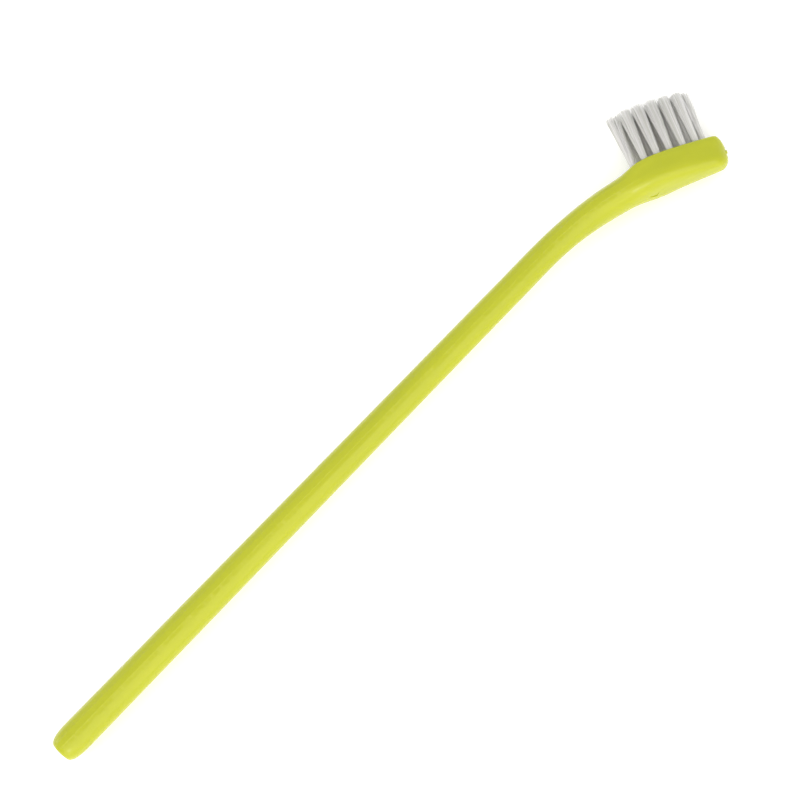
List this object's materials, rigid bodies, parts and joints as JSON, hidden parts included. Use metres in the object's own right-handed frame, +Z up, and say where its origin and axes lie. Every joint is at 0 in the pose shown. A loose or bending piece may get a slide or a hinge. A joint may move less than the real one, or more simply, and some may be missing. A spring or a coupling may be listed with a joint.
{
  "type": "pet toothbrush",
  "caption": "Slim pet toothbrush with a tapered round grip, a neck bent away from the bristles, and a narrow tapered head of staggered bristle tufts held by hidden anchors.",
  "frame": {"origin": "under the middle of the brush's box, on the surface that it lies on", "axes": "+X along the grip towards the head, +Y to the bristle side, +Z up, across the head"},
  "size_m": [0.1994, 0.0264, 0.0108],
  "materials": {
    "handle": "glossy moulded polypropylene, yellow-green",
    "bristles": "drawn nylon filament, off-white",
    "anchors": "rolled wire"
  },
  "bodies": {
    "root": {"handle": "handle", "tuft_01": "bristles", "tuft_02": "bristles", "tuft_03": "bristles", "tuft_04": "bristles", "tuft_05": "bristles", "tuft_06": "bristles", "tuft_07": "bristles", "tuft_08": "bristles", "tuft_09": "bristles", "tuft_10": "bristles", "tuft_11": "bristles", "tuft_12": "bristles", "tuft_13": "bristles", "tuft_14": "bristles", "tuft_15": "bristles", "tuft_16": "bristles", "tuft_17": "bristles", "tuft_18": "bristles", "anchor_01": "anchors", "anchor_02": "anchors", "anchor_03": "anchors", "anchor_04": "anchors", "anchor_05": "anchors", "anchor_06": "anchors", "anchor_07": "anchors", "anchor_08": "anchors", "anchor_09": "anchors", "anchor_10": "anchors", "anchor_11": "anchors", "anchor_12": "anchors", "anchor_13": "anchors", "anchor_14": "anchors", "anchor_15": "anchors", "anchor_16": "anchors", "anchor_17": "anchors", "anchor_18": "anchors"}
  },
  "joints": []
}
